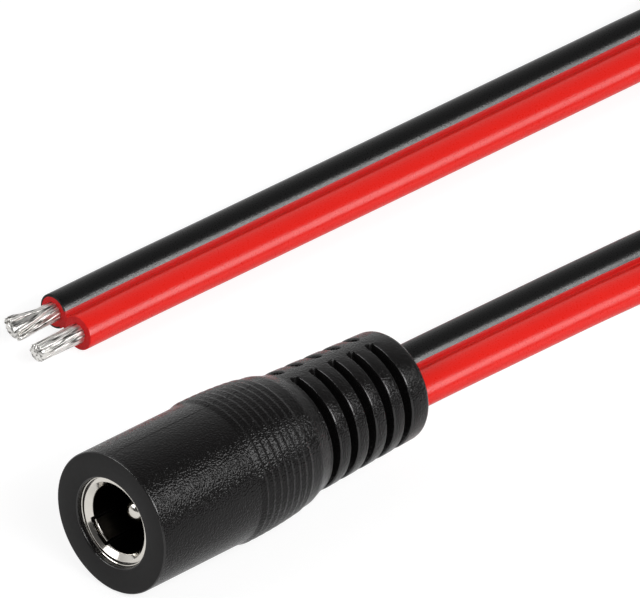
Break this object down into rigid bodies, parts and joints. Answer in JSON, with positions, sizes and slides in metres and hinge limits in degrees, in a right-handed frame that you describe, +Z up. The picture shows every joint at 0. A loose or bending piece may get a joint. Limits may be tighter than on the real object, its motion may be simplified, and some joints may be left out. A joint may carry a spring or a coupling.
{
  "type": "dc power pigtail",
  "caption": "Overmoulded barrel power socket with a slotted strain relief on a flat red and black twin cable with tinned bare ends.",
  "frame": {"origin": "on the surface that the part lies on, below the middle of the jack", "axes": "X along the jack's axis with the socket's mouth facing -X and the cable leaving at +X, Z up"},
  "size_m": [0.1484, 0.0488, 0.0122],
  "materials": {
    "housing_pvc": "black PVC overmoulding with a fine spark-eroded grain",
    "nickel_plate": "bright nickel-plated brass",
    "insulator_nylon": "black moulded nylon",
    "solder": "solder",
    "tinned_copper": "tinned copper strands",
    "red_pvc": "satin extruded red PVC",
    "black_pvc": "satin extruded black PVC skin"
  },
  "bodies": {
    "root": {"jack_housing": "housing_pvc", "contact_sleeve": "nickel_plate", "socket_insulator": "insulator_nylon", "centre_pin": "nickel_plate", "pin_solder_joint": "solder", "sleeve_solder_joint": "solder", "red_wire_end": "tinned_copper", "black_wire_end": "tinned_copper", "cable_insulation": "red_pvc", "cable_black_skin": "black_pvc", "red_tinned_end": "tinned_copper", "black_tinned_end": "tinned_copper"}
  },
  "joints": []
}
